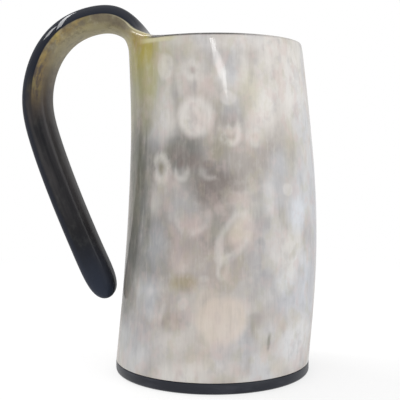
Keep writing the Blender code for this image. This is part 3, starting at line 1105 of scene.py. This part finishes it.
class TANKARD_OT_base(bpy.types.Operator):
    """Makes the stepped base disc: a band, and a plug that stands inside the horn"""

    bl_idname = "tankard.base"
    bl_label = "Base disc"

    def execute(self, context):
        sizes = context.scene.base_sizes
        deselect_everything()
        bpy.ops.mesh.primitive_cylinder_add(
            vertices=BASE_SIDES, radius=sizes.radius, depth=sizes.band, location=(0, 0, sizes.band / 2)
        )
        piece = context.object
        piece.name = "turned_base"
        piece.data.name = piece.name
        bpy.ops.object.transform_apply(location=True, rotation=True, scale=True)
        mesh = piece.data
        bpy.ops.object.mode_set(mode="EDIT")
        select_top_face(mesh)
        bpy.ops.mesh.inset(thickness=sizes.radius - sizes.plug_radius)
        rise = sizes.plug_top - sizes.band
        bpy.ops.mesh.extrude_region_move(TRANSFORM_OT_translate={"value": (0, 0, rise)})
        # Edges by where they lie, the width of their rounding, and its steps
        near = MERGE_DISTANCE
        past_plug = sizes.plug_radius + PAST_PLUG
        rounding = (
            (lambda co: co.z > sizes.plug_top - near, sizes.chamfer, 1),
            (lambda co: co.z < near, sizes.edge, 5),
            (lambda co: abs(co.z - sizes.band) < near and co.xy.length > past_plug, sizes.shoulder, 2),
        )
        for chosen, width, segments in rounding:
            select_edges(mesh, chosen)
            bpy.ops.mesh.bevel(offset=width, segments=segments, affect="EDGES", clamp_overlap=True)
        bpy.ops.mesh.select_all(action="SELECT")
        bpy.ops.mesh.remove_doubles(threshold=MERGE_DISTANCE)
        bpy.ops.mesh.normals_make_consistent(inside=False)
        bpy.ops.object.mode_set(mode="OBJECT")
        dress(piece, base_finish(context.scene.horn_colours), "base_disc")
        return {"FINISHED"}


class TANKARD_OT_glue(bpy.types.Operator):
    """Makes the glue bead that seals the base joint from the inside"""

    bl_idname = "tankard.glue"
    bl_label = "Glue bead"

    def execute(self, context):
        piece = copy_of_node("glue_bead", "set_glue_bead")
        crease_sharp_edges(piece)
        round_further(piece)
        dress(piece, glue_finish(context.scene.horn_colours), "glue_bead")
        return {"FINISHED"}


def add_lamp(name, place, target, along, size, power):
    """A rectangular lamp that faces its target, with its first side along a direction."""
    back = (place - target).normalized()
    side = (along - along.dot(back) * back).normalized()
    deselect_everything()
    bpy.ops.object.light_add(type="AREA", location=place)
    lamp = bpy.context.object
    lamp.name = name
    lamp.rotation_euler = Matrix((side, back.cross(side), back)).transposed().to_euler()
    lamp.data.shape = "RECTANGLE"
    lamp.data.size, lamp.data.size_y = size
    lamp.data.energy = power


def seen_in_polish(camera, horn, across, down):
    """A point on the horn at a share of the picture's width and height, and where a lamp glints there."""
    spread = camera.data.sensor_width / camera.data.lens
    ahead = Vector(((across - 0.5) * spread, (0.5 - down) * spread, -1.0))
    way = (camera.matrix_world.to_3x3() @ ahead).normalized()
    found, point, normal = horn.ray_cast(camera.matrix_world.translation, way)[:3]
    if not found:
        raise RuntimeError("No horn at that place in the picture")
    return point, point + way.reflect(normal) * GLINT_DISTANCE


class TANKARD_OT_stage(bpy.types.Operator):
    """Makes the floor, the white surroundings, the lamps and the camera"""

    bl_idname = "tankard.stage"
    bl_label = "Studio"

    def execute(self, context):
        scene = context.scene
        studio = scene.studio_settings
        self.make_floor(scene)
        self.make_surroundings(scene, studio)
        camera = self.make_camera(scene)
        middle = (SOLIDS_LOW + SOLIDS_HIGH) / 2
        sideways = Vector((1.0, 0.0, 0.0))
        add_lamp("key_lamp", Vector(KEY_PLACE), middle, sideways, KEY_SIZE, studio.key)
        add_lamp("overhead_lamp", Vector(OVERHEAD_PLACE), middle, sideways, OVERHEAD_SIZE, studio.overhead)
        horn = bpy.data.objects["polished_horn"]
        for name, first, last, width, power in GLINTS:
            start = seen_in_polish(camera, horn, *first)[1]
            point, end = seen_in_polish(camera, horn, *last)
            size = ((end - start).length, width)
            add_lamp(name, (start + end) / 2, point, end - start, size, studio.glint * power)
        scene.view_settings.view_transform = "Standard"
        return {"FINISHED"}

    def make_floor(self, scene):
        deselect_everything()
        bpy.ops.mesh.primitive_plane_add(size=FLOOR_SIZE)
        floor = bpy.context.object
        floor.name = "studio_floor"
        bpy.ops.object.mode_set(mode="EDIT")
        bpy.ops.mesh.subdivide(number_cuts=FLOOR_CUTS)
        bpy.ops.object.mode_set(mode="OBJECT")
        floor.data.materials.append(floor_finish(scene.horn_colours))

    def make_surroundings(self, scene, studio):
        """Even light on the object, and plain white wherever the camera or a reflection looks."""
        scene.world = bpy.data.worlds.new("white_studio")
        finish = Finish(scene.world, "Background")
        level = studio.surroundings + finish.looked_at() * (1.0 - studio.surroundings)
        finish.set(color=(1, 1, 1, 1), strength=level)

    def make_camera(self, scene):
        turn = (math.radians(90 - CAMERA_PITCH), 0, 0)
        bpy.ops.object.camera_add(location=CAMERA_PLACE, rotation=turn)
        camera = bpy.context.object
        camera.name = "front_camera"
        camera.data.sensor_width = SENSOR_WIDTH
        camera.data.lens = FOCAL_LENGTH
        camera.data.clip_start = CLIP_START
        scene.camera = camera
        bpy.context.view_layer.update()
        return camera


class TANKARD_PT_panel(bpy.types.Panel):
    """The tankard's pieces, in the order in which they are made"""

    bl_idname = "TANKARD_PT_panel"
    bl_label = "Horn tankard"
    bl_space_type = "VIEW_3D"
    bl_region_type = "UI"
    bl_category = "Tankard"

    def draw(self, context):
        for operator in OPERATORS:
            self.layout.operator(operator.bl_idname)


OPERATORS = (TANKARD_OT_horn, TANKARD_OT_base, TANKARD_OT_glue, TANKARD_OT_stage)
SETTINGS = {
    "horn_sizes": HornSizes,
    "base_sizes": BaseSizes,
    "horn_colours": HornColours,
    "studio_settings": StudioSettings,
}
CLASSES = (*SETTINGS.values(), *OPERATORS, TANKARD_PT_panel)


def register():
    for kind in CLASSES:
        bpy.utils.register_class(kind)
    for name, kind in SETTINGS.items():
        setattr(bpy.types.Scene, name, bpy.props.PointerProperty(type=kind))


def unregister():
    for name in SETTINGS:
        delattr(bpy.types.Scene, name)
    for kind in reversed(CLASSES):
        bpy.utils.unregister_class(kind)


def main():
    register()
    bpy.ops.tankard.horn()
    bpy.ops.tankard.base()
    bpy.ops.tankard.glue()
    bpy.ops.tankard.stage()


if __name__ == "__main__":
    main()
